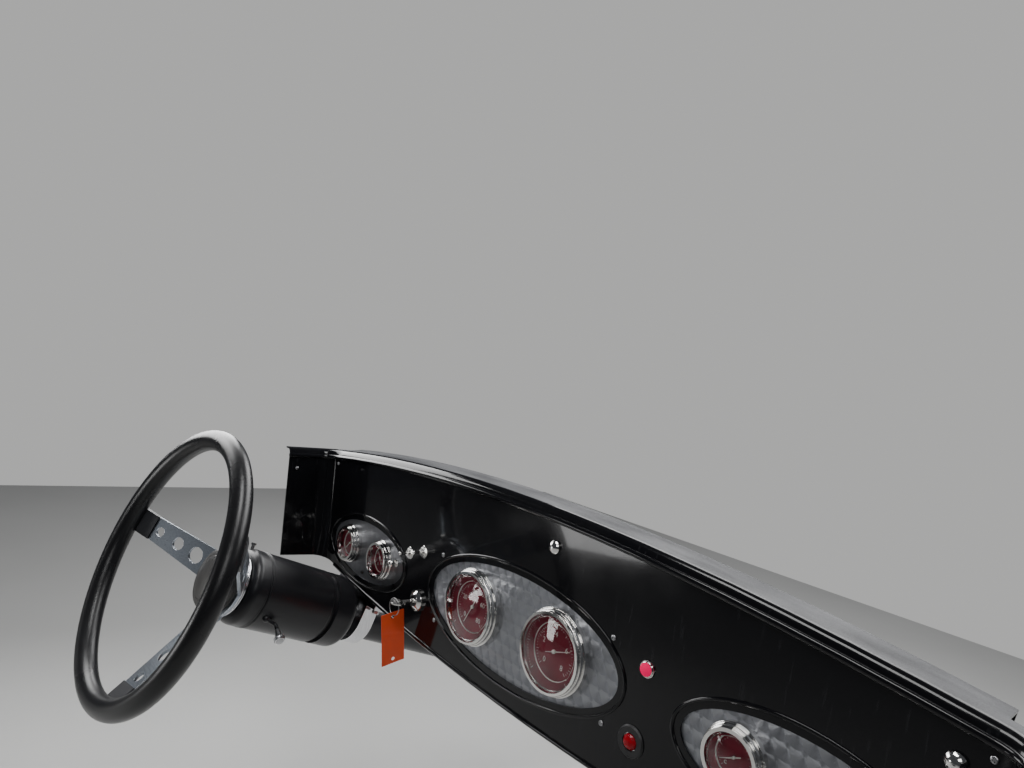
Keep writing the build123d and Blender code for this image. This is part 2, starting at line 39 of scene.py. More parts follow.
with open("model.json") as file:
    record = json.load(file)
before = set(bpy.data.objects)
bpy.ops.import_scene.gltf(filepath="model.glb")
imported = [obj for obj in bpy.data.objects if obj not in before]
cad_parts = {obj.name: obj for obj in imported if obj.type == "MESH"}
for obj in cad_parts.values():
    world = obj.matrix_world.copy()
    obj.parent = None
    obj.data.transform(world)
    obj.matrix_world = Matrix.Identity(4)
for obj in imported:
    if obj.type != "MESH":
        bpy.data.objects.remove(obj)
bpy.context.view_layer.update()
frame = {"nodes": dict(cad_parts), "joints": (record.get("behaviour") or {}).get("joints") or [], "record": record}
nodes = frame["nodes"]
steering = frame["joints"][0]

# Places that the frame gives
wheel_centre = Vector(steering["pos_m"])
column_dir = Vector(steering["axis"]).normalized()
dials_low, dials_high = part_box("large_gauge_dials")
ring_low, ring_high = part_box("key_ring")
tag_low, tag_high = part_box("key_tag")
ring_middle = (ring_low + ring_high) / 2

# Directions of the gauge row and of the column
FACE_Y = -0.040                 # the panel's face
GAUGE_Z = (dials_low.z + dials_high.z) / 2
ROW_TILT = radians(1.5)         # the gauge row leans off the panel's own line
ROW_RIGHT = Vector((cos(ROW_TILT), 0, sin(ROW_TILT)))
ROW_UP = Vector((-sin(ROW_TILT), 0, cos(ROW_TILT)))
SPLAY = radians(2.0)            # the column's right side stands a little forward
COLUMN_RIGHT = (ROW_RIGHT * cos(SPLAY) + Vector((0, sin(SPLAY), 0))).normalized()
COLUMN_UP = COLUMN_RIGHT.cross(column_dir)

# Gauges of each size, in millimetres: radii of dial and case, depth of case, places along the
# row and height off it; gap round the glass, its roll and its crown; marks on the flat of the
# dial and how many to a long one, marks on its raised ring, words; needle angles in degrees
GAUGES = {
    "large": dict(dial=40.3, case=42.0, deep=52.0, row=(-70.0, 70.0), rise=0.0,
                  gap=1.3, roll=4.0, crown=4.2, marks=41, to_long=5, ring_marks=61,
                  words=(("0", "20", "40", "60", "80"), ("0", "2", "4", "6", "8")),
                  needles=(242.0, 19.0)),
    "small": dict(dial=22.8, case=26.0, deep=45.0, row=(-375.0, -283.0, 283.0, 375.0), rise=-5.0,
                  gap=1.2, roll=2.6, crown=2.4, marks=25, to_long=6, ring_marks=0,
                  words=(("C", "", "H"),), needles=(225.0, 128.0, 205.0, 150.0)),
}

# Places on the panel, in millimetres along the gauge row and up from it
PILOT_AT = (187.0, 29.0)
JEWEL_AT = (180.0, -42.0)
LOCK_AT = (-184.0, -30.0)
SWITCHES_AT = ((-217.0, 24.0), (-186.0, 34.0))
PLATE_SCREWS_AT = ((-334.0, -38.0), (334.0, -38.0))
FACE_SCREWS_AT = ((-143, 42, 0.3), (143, 42, 1.1), (-143, -42, 0.8), (143, -42, 0.1))  # and turn

# Screws by the bend at each end of the panel: place in metres, direction and turn at the +X end
BEND_SCREWS = (((0.4527, -0.0402, -0.0293), (-0.07, -1.0, 0.01), 0.5),
               ((0.4765, -0.0983, -0.0434), (-0.99, -0.09, 0.15), 0.2))
COWL_BOLTS = ((-0.330, 0.0), (-0.110, 0.015713), (0.110, 0.015713), (0.330, 0.0))  # x and z
COWL_FACE_Y = -0.002

# Distances along the column, in millimetres forward of the wheel's centre
DISC_NEAR, DISC_FAR = 88.5, 92.5        # faces of the disc where the wheel's arms meet
SEAMS_AT = (125.6, 130.4)
DROP_BAR = 303.5

# Wheel and lamps, in millimetres
RIM_RADIUS, GRIP_RADIUS = 164.6, 13.2
HUB_SCREWS_RADIUS, HUB_NUTS_RADIUS = 43.2, 44.0
JEWEL_RADIUS = 7.7

# Camera of the photograph, on the passenger's side
EYE = Vector((0.558947, -0.589960, 0.165678))
VIEW_RIGHT = Vector((0.648223, 0.743599, 0.163910))
VIEW_DOWN = Vector((0.123160, 0.110037, -0.986267))
LENS = 24.61

# Stage: name of a light, place, aim, width and height in metres, power in watts
FLOOR_Z, FLOOR_SIZE = -0.62, 5.6
LIGHTS = (
    ("Wide front light", (-0.1, 1.25, 1.25), (-0.1, -0.05, -0.1), 3.0, 1.0, 48.0),
    ("Driver side light", (-0.92, -0.26, 0.26), (-0.34, -0.30, 0.0), 0.6, 0.45, 7.0),
    ("Passenger side light", (1.0, -1.15, 0.86), (-0.25, -0.2, -0.2), 0.7, 0.5, 5.0),
    ("Low rear light", (-0.87, -1.2, -0.24), (0.07, -0.05, -0.12), 0.34, 0.24, 2.2),
    ("Top light", (0.05, -0.42, 1.05), (0.25, -0.05, 0.0), 0.8, 0.32, 9.0),
    ("Far overhead light", (0.0, 3.2, 2.8), (0.0, 3.2, 0.0), 5.0, 3.0, 60.0))


# Shader helpers

def is_socket(value):
    """True for another node's socket."""
    return isinstance(value, bpy.types.NodeSocket)


def add_node(tree, kind, settings=None, **inputs):
    """A node with its settings; an input, by name or as i and a number, takes a value or socket."""
    made = tree.nodes.new(kind)
    for key, value in (settings or {}).items():
        setattr(made, key, value)
    for key, value in inputs.items():
        numbered = key[0] == "i" and key[1:].isdigit()
        socket = made.inputs[int(key[1:]) if numbered else key.replace("_", " ")]
        if is_socket(value):
            tree.links.new(value, socket)
        else:
            socket.default_value = value
    return made


def maths(tree, operation, *values):
    """Result of a Math node."""
    inputs = {"i%d" % i: value for i, value in enumerate(values)}
    return add_node(tree, "ShaderNodeMath", {"operation": operation}, **inputs).outputs[0]


def plus(tree, first, second):
    """Sum of two values."""
    return maths(tree, "ADD", first, second)


def minus(tree, first, second):
    """First value less the second."""
    return maths(tree, "SUBTRACT", first, second)


def times(tree, first, second):
    """Product of two values."""
    return maths(tree, "MULTIPLY", first, second)


def ranged(tree, value, low, high, new_low=0.0, new_high=1.0):
    """Value carried from one range to another and held inside it."""
    return add_node(tree, "ShaderNodeMapRange", Value=value, i1=low, i2=high,
                    i3=new_low, i4=new_high).outputs[0]


def mixed(tree, mask, low, high):
    """Colour that goes from low to high with the mask; either is a socket or three numbers."""
    low, high = (value if is_socket(value) else (*value, 1) for value in (low, high))
    return add_node(tree, "ShaderNodeMix", {"data_type": "RGBA"}, Factor=mask,
                    i6=low, i7=high).outputs[2]


def picked(tree, mask, low, high):
    """Number that goes from low to high with the mask."""
    return add_node(tree, "ShaderNodeMix", {"data_type": "FLOAT"}, Factor=mask,
                    i2=low, i3=high).outputs[0]


def place_of(tree):
    """Object coordinates."""
    return add_node(tree, "ShaderNodeTexCoord").outputs["Object"]


def axes_of(tree, vector):
    """The three sockets of a vector."""
    return add_node(tree, "ShaderNodeSeparateXYZ", Vector=vector).outputs


def normal_of(tree):
    """The three sockets of the surface's direction."""
    return axes_of(tree, add_node(tree, "ShaderNodeNewGeometry").outputs["Normal"])


def noise(tree, scale, detail=3.0, stretch=None):
    """Noise over the object, finer along the axes with a larger stretch."""
    where = place_of(tree)
    if stretch:
        where = add_node(tree, "ShaderNodeVectorMath", {"operation": "MULTIPLY"},
                         i0=where, i1=stretch).outputs[0]
    return add_node(tree, "ShaderNodeTexNoise", Vector=where, Scale=scale,
                    Detail=detail).outputs[0]


def shader_group(name, inputs, outputs):
    """Empty group of shader nodes with number inputs, each with a first value, and outputs."""
    group = bpy.data.node_groups.new(name, "ShaderNodeTree")
    for label in outputs:
        group.interface.new_socket(label, in_out="OUTPUT", socket_type="NodeSocketFloat")
    for label, value in inputs.items():
        group.interface.new_socket(label, in_out="INPUT",
                                   socket_type="NodeSocketFloat").default_value = value
    given = group.nodes.new("NodeGroupInput").outputs
    return group, given, group.nodes.new("NodeGroupOutput").inputs


def use_group(tree, group, **values):
    """Outputs of a group placed in a material with its own values."""
    return add_node(tree, "ShaderNodeGroup", {"node_tree": group}, **values).outputs


def material(name, colour, roughness, **sockets):
    """Material with its Principled BSDF set; returns it with its tree and shader."""
    made = bpy.data.materials.new(name)
    made.use_nodes = True
    shader = made.node_tree.nodes["Principled BSDF"]
    shader.inputs["Base Color"].default_value = (*colour, 1)
    shader.inputs["Roughness"].default_value = roughness
    for key, value in sockets.items():
        shader.inputs[key.replace("_", " ")].default_value = value
    made.diffuse_color = (*colour, 1)
    return made, made.node_tree, shader


def feed(tree, shader, **sockets):
    """Other nodes linked to the shader's sockets."""
    for key, source in sockets.items():
        tree.links.new(source, shader.inputs[key.replace("_", " ")])


def bump(tree, shader, height, depth):
    """Bump from a height, its depth in millimetres."""
    made = add_node(tree, "ShaderNodeBump", Strength=1.0, Distance=depth * MM, Height=height)
    feed(tree, shader, Normal=made.outputs[0])


def darker(colour, share):
    """A colour with each of its numbers cut to a share."""
    return tuple(c * share for c in colour)


# Effects that several materials share

def dust_group():
    """Dust that settles on what faces up, in soft patches."""
    group, given, out = shader_group("Settled dust", {"Amount": 0.5}, ["Mask"])
    patches = ranged(group, noise(group, 60.0, 6.0), 0.3, 0.7, 0.45, 1.0)
    level = ranged(group, normal_of(group)[2], 0.25, 0.95)
    dust = times(group, times(group, level, patches), given["Amount"])
    group.links.new(dust, out["Mask"])
    return group


def hairline_group():
    """Fine hairline marks and smudges that break up a gloss."""
    group, given, out = shader_group("Hairlines", {"Scale": 300.0}, ["Mask", "Smudge"])
    lines = noise(group, given["Scale"], 2.0, (1.0, 1.0, 0.12))
    group.links.new(ranged(group, lines, 0.62, 0.75), out["Mask"])
    group.links.new(ranged(group, noise(group, 14.0, 5.0), 0.35, 0.7), out["Smudge"])
    return group


def grain_group():
    """Close leather-like or cast grain: height from small cells."""
    group, given, out = shader_group("Fine grain", {"Scale": 900.0}, ["Height"])
    cells = add_node(group, "ShaderNodeTexVoronoi", {"feature": "DISTANCE_TO_EDGE"},
                     Vector=place_of(group), Scale=given["Scale"])
    group.links.new(ranged(group, cells.outputs["Distance"], 0.0, 0.35), out["Height"])
    return group


def swirl_group():
    """Engine-turned finish: overlapping spots in staggered rows, each polished in rings.

    A spot covers the ones before it in its row and the row below. Its rings give the height,
    and its sheen, a highlight painted into the colour, turns with the angle round the spot's
    centre.
    """
    group, given, out = shader_group("Engine turning", {"Pitch": 0.014, "Radius": 0.0115},
                                     ["Height", "Painted sheen"])
    ring_count, dish_depth, fan_turn = 95.0, 3.0, 0.6
    x, y, z = axes_of(group, place_of(group))
    across = maths(group, "DIVIDE", x, given["Pitch"])
    up = maths(group, "DIVIDE", z, given["Pitch"])
    radius = maths(group, "DIVIDE", given["Radius"], given["Pitch"])
    distance = angle = None
    for row in (-1.0, 0.0, 1.0):
        line = plus(group, maths(group, "FLOOR", up), row)
        shift = times(group, maths(group, "PINGPONG", line, 1.0), 0.5)
        for step in (-1.0, 0.0, 1.0):
            column = plus(group, maths(group, "FLOOR", minus(group, across, shift)), step)
            dx = minus(group, across, plus(group, plus(group, column, shift), 0.5))
            dz = minus(group, up, plus(group, line, 0.5))
            reach = maths(group, "SQRT", plus(group, times(group, dx, dx), times(group, dz, dz)))
            turn = maths(group, "ARCTAN2", dz, dx)
            if distance is None:
                distance, angle = reach, turn
            else:
                covers = maths(group, "LESS_THAN", reach, radius)
                distance = picked(group, covers, distance, reach)
                angle = picked(group, covers, angle, turn)
    rings = maths(group, "SINE", times(group, distance, ring_count))
    edge = maths(group, "DIVIDE", distance, radius)
    dish = times(group, maths(group, "POWER", edge, 3.0), dish_depth)
    # Painted sheen: a light and dark fan round each spot's centre, with its rings, as a highlight painted into the
    # colour
    fan = maths(group, "SINE", times(group, plus(group, angle, fan_turn), 2.0))
    sheen = plus(group, times(group, fan, 0.5), times(group, rings, 0.12))
    group.links.new(plus(group, rings, dish), out["Height"])
    group.links.new(ranged(group, sheen, -0.6, 0.6), out["Painted sheen"])
    return group


DUST = dust_group()
HAIRLINES = hairline_group()
GRAIN = grain_group()
TURNING = swirl_group()


# Finishes

def black_gloss():
    """Black enamel of the panel: polished face, and a weathered grey ledge behind its top."""
    black, scuff, coat = (0.004, 0.004, 0.005), (0.030, 0.030, 0.034), 0.6
    made, tree, shader = material("Black enamel", black, 0.12, IOR=1.25, Coat_Weight=coat,
                                  Coat_Roughness=0.05, Coat_IOR=1.33)
    level = ranged(tree, normal_of(tree)[2], 0.955, 0.985)
    behind = ranged(tree, axes_of(tree, place_of(tree))[1], -0.0345, -0.0325)
    ledge = times(tree, level, behind)
    streaks = noise(tree, 55.0, 6.0, (0.18, 1.0, 1.0))
    specks = noise(tree, 900.0, 2.0)
    tone = plus(tree, times(tree, streaks, 0.7), times(tree, specks, 0.3))
    grey = mixed(tree, ranged(tree, tone, 0.36, 0.64), (0.045, 0.046, 0.050),
                 (0.150, 0.152, 0.158))
    marks = use_group(tree, HAIRLINES, Scale=260.0)
    face = mixed(tree, times(tree, marks["Mask"], 0.25), black, scuff)
    smudged = ranged(tree, marks["Smudge"], 0.0, 1.0, 0.10, 0.20)
    feed(tree, shader, Base_Color=mixed(tree, ledge, face, grey),
         Roughness=plus(tree, smudged, times(tree, ledge, 0.38)),
         Coat_Weight=ranged(tree, ledge, 0.0, 1.0, coat, 0.0))
    bump(tree, shader, noise(tree, 160.0, 2.0), 0.03)
    return made


def turned_alloy(name, strength, light, dark, roughness):
    """Engine-turned aluminium sheet, its spots on the side toward the driver, their sheen a painted highlight."""
    made, tree, shader = material(name, light, roughness, Metallic=1.0)
    swirl = use_group(tree, TURNING)
    front = ranged(tree, normal_of(tree)[1], -0.9, -0.6, 1.0, 0.0)
    spots = times(tree, minus(tree, swirl["Painted sheen"], 0.5), front)
    sheen = plus(tree, times(tree, spots, strength), 0.5)
    cloud = noise(tree, 25.0, 5.0)
    tone = plus(tree, times(tree, sheen, 0.8), times(tree, cloud, 0.2))
    # The colour carries the painted sheen: lighter and darker round each spot as a painted highlight
    feed(tree, shader, Base_Color=mixed(tree, tone, dark, light),
         Roughness=ranged(tree, tone, 0.0, 1.0, roughness + 0.1, roughness - 0.06))
    bump(tree, shader, times(tree, swirl["Height"], front), 0.06 * strength)
    return made


def brushed(name, light, dark, roughness, stretch):
    """Brushed metal, its lines along the axis with the smallest stretch, its worn edges bright."""
    made, tree, shader = material(name, light, roughness, Metallic=1.0)
    lines = noise(tree, 500.0, 4.0, stretch)
    cloud = noise(tree, 30.0, 4.0)
    tone = ranged(tree, plus(tree, lines, times(tree, cloud, 0.6)), 0.55, 1.05)
    worn = add_node(tree, "ShaderNodeAttribute", {"attribute_name": "worn"}).outputs["Fac"]
    body = mixed(tree, tone, dark, light)
    feed(tree, shader, Base_Color=mixed(tree, worn, body, (0.88, 0.89, 0.90)),
         Roughness=ranged(tree, tone, 0.0, 1.0, roughness + 0.08, roughness - 0.05))
    bump(tree, shader, lines, 0.03)
    return made


def chrome():
    """Bright plating with faint smudges."""
    clean, dulled = (0.72, 0.71, 0.69), (0.56, 0.55, 0.53)
    made, tree, shader = material("Bright chrome", clean, 0.05, Metallic=1.0)
    marks = use_group(tree, HAIRLINES, Scale=500.0)
    feed(tree, shader, Base_Color=mixed(tree, marks["Mask"], clean, dulled),
         Roughness=ranged(tree, marks["Smudge"], 0.0, 1.0, 0.04, 0.13))
    return made


def satin_black(name, colour, roughness, grain, depth):
    """Satin black paint or moulding with a fine texture and a little dust."""
    made, tree, shader = material(name, colour, roughness, IOR=1.45)
    dust = use_group(tree, DUST, Amount=0.07)["Mask"]
    cloud = noise(tree, 18.0, 5.0)
    feed(tree, shader, Base_Color=mixed(tree, dust, colour, (0.22, 0.22, 0.23)),
         Roughness=ranged(tree, cloud, 0.3, 0.7, roughness - 0.025, roughness + 0.035))
    bump(tree, shader, use_group(tree, GRAIN, Scale=grain)["Height"], depth)
    return made


def maroon_dial():
    """Printed dark red dial with a faint spun sheen."""
    made, tree, shader = material("Maroon dial", (0.20, 0.008, 0.024), 0.5, IOR=1.25)
    patches = noise(tree, 45.0, 3.0)
    feed(tree, shader,
         Base_Color=mixed(tree, patches, (0.15, 0.006, 0.018), (0.27, 0.012, 0.034)))
    bump(tree, shader, noise(tree, 2500.0, 1.0), 0.01)
    return made


def clear_glass():
    """Thin domed gauge glass with a trace of haze."""
    made, tree, shader = material("Gauge glass", (1.0, 1.0, 1.0), 0.02,
                                  Transmission_Weight=1.0, IOR=1.38)
    feed(tree, shader, Roughness=ranged(tree, noise(tree, 30.0, 4.0), 0.4, 0.8, 0.0, 0.03))
    return made


def lens(name, colour, glow, ior):
    """Coloured lamp lens, lit from inside when glow is above nought."""
    made, tree, shader = material(name, colour, 0.16, IOR=ior, Emission_Color=(*colour, 1),
                                  Emission_Strength=glow)
    depth = noise(tree, 400.0, 2.0)
    feed(tree, shader, Base_Color=mixed(tree, depth, darker(colour, 0.45), colour))
    return made


def plain(name, colour, roughness, scale, depth, **sockets):
    """Plain moulding or paint whose tone and surface vary a little."""
    made, tree, shader = material(name, colour, roughness, **sockets)
    patches = noise(tree, scale, 4.0)
    feed(tree, shader, Base_Color=mixed(tree, patches, darker(colour, 0.82), colour),
         Roughness=ranged(tree, patches, 0.3, 0.7, roughness - 0.05, roughness + 0.06))
    bump(tree, shader, noise(tree, scale * 12, 2.0), depth)
    return made


finishes = {
    "black_paint": black_gloss(),
    # Light and dark ends of the painted sheen on the turned alloys
    "turned_aluminium": turned_alloy("Turned alloy", 0.85, (0.37, 0.38, 0.405),
                                     (0.15, 0.155, 0.17), 0.38),
    "brushed_plate": turned_alloy("Faintly turned alloy", 0.3, (0.215, 0.22, 0.235),
                                  (0.13, 0.133, 0.145), 0.40),
    "chrome": chrome(),
    "gauge_black": satin_black("Housing black", (0.012, 0.012, 0.013), 0.42, 1200.0, 0.02),
    "dial_red": maroon_dial(),
    "needle_white": plain("White print", (0.80, 0.79, 0.74), 0.45, 200.0, 0.01),
    "clear_glass": clear_glass(),
    "red_lens": lens("Lit red lens", (0.85, 0.0, 0.10), 0.55, 1.08),
    "dark_lens": lens("Dark red lens", (0.35, 0.008, 0.016), 0.04, 1.25),
    "column_black": satin_black("Column black", (0.007, 0.007, 0.009), 0.31, 1500.0, 0.02),
    "polished_alloy": brushed("Polished alloy", (0.80, 0.80, 0.82), (0.62, 0.62, 0.64), 0.14,
                              (1.0, 1.0, 0.1)),
    "steel": brushed("Machined steel", (0.46, 0.46, 0.47), (0.30, 0.30, 0.31), 0.32,
                     (1.0, 0.1, 1.0)),
    "spoke_alloy": brushed("Spoke alloy", (0.42, 0.455, 0.50), (0.25, 0.28, 0.325), 0.32,
                           (0.05, 1.0, 1.0)),
    "grip_black": satin_black("Grip black", (0.007, 0.007, 0.008), 0.28, 1100.0, 0.03),
    "sleeve_grey": satin_black("Sleeve grey", (0.035, 0.036, 0.040), 0.42, 900.0, 0.04),
    "cap_grey": plain("Cap grey", (0.115, 0.112, 0.108), 0.46, 60.0, 0.02, Metallic=0.5),
    "tag_orange": plain("Orange card", (0.78, 0.065, 0.001), 0.6, 90.0, 0.04),
}
for part in frame["record"]["subparts"]:
    mesh = nodes[part["node"]].data
    mesh.materials.clear()
    mesh.materials.append(finishes[part["material_slot"]])


# Pieces: helpers

def on_face(across, up, lift=0.0, turn=0.0):
    """Place on the panel, in millimetres along the gauge row, its Z toward the driver."""
    origin = Vector((0, FACE_Y - lift * MM, GAUGE_Z)) + (ROW_RIGHT * across + ROW_UP * up) * MM
    axes = Matrix((ROW_RIGHT, ROW_UP, Vector((0, -1, 0)))).transposed()
    return Matrix.Translation(origin) @ (axes @ Matrix.Rotation(turn, 3, "Z")).to_4x4()


def on_column(distance, turn=0.0):
    """Place on the column's axis, in millimetres forward of the wheel, its Z toward the driver."""
    axes = Matrix((COLUMN_RIGHT, COLUMN_UP, -column_dir)).transposed()
    origin = wheel_centre + column_dir * distance * MM
    return Matrix.Translation(origin) @ (axes @ Matrix.Rotation(turn, 3, "Z")).to_4x4()


def facing(origin, normal, turn=0.0):
    """Place whose Z points along a normal."""
    axes = Vector(normal).to_track_quat("Z", "Y").to_matrix() @ Matrix.Rotation(turn, 3, "Z")
    return Matrix.Translation(Vector(origin)) @ axes.to_4x4()


def moved(x, y, z):
    """Shift in millimetres."""
    return Matrix.Translation((x * MM, y * MM, z * MM))


def on_circle(radius, angle):
    """Point on a circle."""
    return radius * cos(angle), radius * sin(angle)


def polygon(sides, radius, turn=0.0):
    """Corners of a regular outline."""
    return [on_circle(radius, tau * i / sides + turn) for i in range(sides)]


def turned(profile, steps=64, closed=False):
    """Round shape from (radius, height) points in millimetres, about its own Z."""
    shape = bmesh.new()
    rows = []
    for radius, height in profile:
        around = 1 if radius < 1e-6 else steps
        rows.append([shape.verts.new((*on_circle(radius * MM, tau * i / steps), height * MM))
                     for i in range(around)])
    for low, high in zip(rows, rows[1:] + (rows[:1] if closed else [])):
        if len(low) == len(high) == 1:
            continue
        for i in range(steps):
            corners = (low[i % len(low)], low[(i + 1) % len(low)],
                       high[(i + 1) % len(high)], high[i % len(high)])
            shape.faces.new(list(dict.fromkeys(corners)))
    bmesh.ops.recalc_face_normals(shape, faces=shape.faces)
    return shape


def plate(outline, low, high):
    """Flat shape from an outline in millimetres, between two heights."""
    shape = bmesh.new()
    base, top = ([shape.verts.new((x * MM, y * MM, height * MM)) for x, y in outline]
                 for height in (low, high))
    shape.faces.new(base[::-1])
    shape.faces.new(top)
    for i in range(len(base)):
        shape.faces.new((base[i - 1], base[i], top[i], top[i - 1]))
    bmesh.ops.recalc_face_normals(shape, faces=shape.faces)
    return shape


def round_edges(shape, width, limit=30.0):
    """Bevel a shape's hard edges by a width in millimetres and mark the new faces as worn."""
    worn = shape.faces.layers.float.get("worn") or shape.faces.layers.float.new("worn")
    hard = [e for e in shape.edges if e.is_manifold and e.calc_face_angle(0) > radians(limit)]
    made = bmesh.ops.bevel(shape, geom=hard, offset=width * MM, segments=2, profile=0.5,
                           affect="EDGES", clamp_overlap=True)
    for face in made["faces"]:
        face[worn] = 1.0


def as_mesh(name, shape):
    """Mesh from a shape, which is used up."""
    mesh = bpy.data.meshes.new(name)
    shape.to_mesh(mesh)
    shape.free()
    return mesh


def linked(name, data):
    """New object in the scene."""
    made = bpy.data.objects.new(name, data)
    bpy.context.scene.collection.objects.link(made)
    return made


def evaluated(holder):
    """Plain mesh of an object as its modifiers or its curve make it."""
    graph = bpy.context.evaluated_depsgraph_get()
    return bpy.data.meshes.new_from_object(holder.evaluated_get(graph))


def gathered(meshes):
    """One shape from several meshes, which are used up."""
    whole = bmesh.new()
    for mesh in meshes:
        whole.from_mesh(mesh)
        bpy.data.meshes.remove(mesh)
    return whole


def cut(shape, tool):
    """Shape with another cut out of it."""
    held = [linked(label, as_mesh(label, source))
            for label, source in (("cut_from", shape), ("cut_by", tool))]
    modifier = held[0].modifiers.new("Cut", "BOOLEAN")
    modifier.operation = "DIFFERENCE"
    modifier.solver = "EXACT"
    modifier.object = held[1]
    done = gathered([evaluated(held[0])])
    held[0].modifiers.clear()
    for holder in held:
        bpy.data.objects.remove(holder)
    return done


def mesh_piece(name, shape, slot, body="dash", replaces=(), sharp=32.0):
    """Piece from a shape or a mesh, riding on its body, finished from a slot of the record."""
    mesh = as_mesh(name, shape) if isinstance(shape, bmesh.types.BMesh) else shape
    mesh.name = name
    mesh.shade_smooth()
    mesh.set_sharp_from_angle(angle=radians(sharp))
    made = linked(name, mesh)
    modifier = made.modifiers.new("Even normals", "WEIGHTED_NORMAL")
    modifier.keep_sharp = True
    made.data = evaluated(made)
    made.modifiers.clear()
    bpy.data.meshes.remove(mesh)
    made.data.name = name
    made.data.materials.clear()
    made.data.materials.append(finishes[slot])
    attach(made, body)
    if replaces:
        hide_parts(*replaces)
    return made


def softened(node, slot, width, body="dash", limit=30.0):
    """Copy of a CAD node with its hard edges rounded over, in the node's place."""
    shape = bmesh.new()
    shape.from_mesh(nodes[node].data)
    bmesh.ops.remove_doubles(shape, verts=shape.verts, dist=2e-6)
    bmesh.ops.dissolve_limit(shape, angle_limit=radians(0.4), verts=shape.verts,
                             edges=shape.edges)
    round_edges(shape, width, limit)
    return mesh_piece(node + "_finished", shape, slot, body, (node,))


# Pieces that repeat, set out by Geometry Nodes

def geometry_tree(name, inputs):
    """Geometry Nodes tree with a geometry in and out, and named inputs of a kind."""
    tree = bpy.data.node_groups.new(name, "GeometryNodeTree")
    tree.interface.new_socket("Geometry", in_out="OUTPUT", socket_type="NodeSocketGeometry")
    for label, kind in (("Geometry", "Geometry"), *inputs):
        tree.interface.new_socket(label, in_out="INPUT", socket_type="NodeSocket" + kind)
    given = tree.nodes.new("NodeGroupInput").outputs
    return tree, given, tree.nodes.new("NodeGroupOutput").inputs


def end_tree(tree, copies, given, out):
    """Copies made real and given their finish, at the end of a tree."""
    real = add_node(tree, "GeometryNodeRealizeInstances", Geometry=copies.outputs[0])
    done = add_node(tree, "GeometryNodeSetMaterial", Geometry=real.outputs[0],
                    Material=given["Finish"])
    tree.links.new(done.outputs[0], out["Geometry"])
    return tree


def grown(tree, start, **values):
    """Plain mesh that a tree makes from a start mesh."""
    holder = linked("maker", start)
    modifier = holder.modifiers.new("Maker", "NODES")
    modifier.node_group = tree
    sockets = {item.name: item.identifier for item in tree.interface.items_tree
               if item.item_type == "SOCKET" and item.in_out == "INPUT"}
    for label, value in values.items():
        modifier[sockets[label.replace("_", " ")]] = value
    made = evaluated(holder)
    holder.modifiers.clear()
    bpy.data.objects.remove(holder)
    return made


def set_out_tree():
    """A copy of a part on every point, turned by the point's own value."""
    tree, given, out = geometry_tree("Set out parts", [
        ("Part", "Object"), ("Size", "Float"), ("Finish", "Material")])
    part = add_node(tree, "GeometryNodeObjectInfo", Object=given["Part"])
    turn = add_node(tree, "GeometryNodeInputNamedAttribute", {"data_type": "FLOAT_VECTOR"},
                    Name="turn")
    copies = add_node(tree, "GeometryNodeInstanceOnPoints", Points=given["Geometry"],
                      Instance=part.outputs["Geometry"], Rotation=turn.outputs[0],
                      Scale=given["Size"])
    return end_tree(tree, copies, given, out)


def marks_tree():
    """Printed marks round a dial: short bars along an arc, every so many of them long and wide."""
    tree, given, out = geometry_tree("Dial marks", [
        ("Count", "Int"), ("Long every", "Int"), ("Start", "Float"), ("Sweep", "Float"),
        ("Outer", "Float"), ("Length", "Float"), ("Width", "Float"), ("Thickness", "Float"),
        ("Height", "Float"), ("Finish", "Material")])
    line = add_node(tree, "GeometryNodeMeshLine", Count=given["Count"], Offset=(0.0, 0.0, 0.0))
    index = add_node(tree, "GeometryNodeInputIndex").outputs[0]
    share = maths(tree, "DIVIDE", index, minus(tree, given["Count"], 1.0))
    angle = minus(tree, given["Start"], times(tree, given["Sweep"], share))
    place_in_run = maths(tree, "FLOORED_MODULO", index, given["Long every"])
    is_long = maths(tree, "LESS_THAN", place_in_run, 0.5)
    reach = times(tree, given["Length"], plus(tree, 1.0, is_long))
    middle = minus(tree, given["Outer"], times(tree, reach, 0.5))
    x = times(tree, middle, maths(tree, "COSINE", angle))
    y = times(tree, middle, maths(tree, "SINE", angle))
    spot = add_node(tree, "ShaderNodeCombineXYZ", X=x, Y=y, Z=given["Height"])
    points = add_node(tree, "GeometryNodeSetPosition", Geometry=line.outputs[0],
                      Position=spot.outputs[0])
    bar = add_node(tree, "GeometryNodeMeshCube", Size=(1.0, 1.0, 1.0))
    turn = add_node(tree, "ShaderNodeCombineXYZ", Z=angle)
    wide = times(tree, given["Width"], plus(tree, 1.0, times(tree, is_long, 0.6)))
    scale = add_node(tree, "ShaderNodeCombineXYZ", X=reach, Y=wide, Z=given["Thickness"])
    copies = add_node(tree, "GeometryNodeInstanceOnPoints", Points=points.outputs[0],
                      Instance=bar.outputs[0], Rotation=turn.outputs[0], Scale=scale.outputs[0])
    return end_tree(tree, copies, given, out)


SET_OUT = set_out_tree()
MARKS = marks_tree()


def repeated(name, shape, places, slot, body="dash", size=1.0, **how):
    """Piece of many copies of one small shape, one on each place."""
    part_mesh = as_mesh("part", shape)
    part_mesh.shade_smooth()
    part = linked("part", part_mesh)
    points = bpy.data.meshes.new("points")
    points.from_pydata([place.to_translation() for place in places], [], [])
    turns = points.attributes.new("turn", "FLOAT_VECTOR", "POINT")
    for i, place in enumerate(places):
        turns.data[i].vector = place.to_euler()
    made = grown(SET_OUT, points, Part=part, Size=size, Finish=finishes[slot])
    bpy.data.objects.remove(part)
    return mesh_piece(name, made, slot, body, **how)


# Small parts

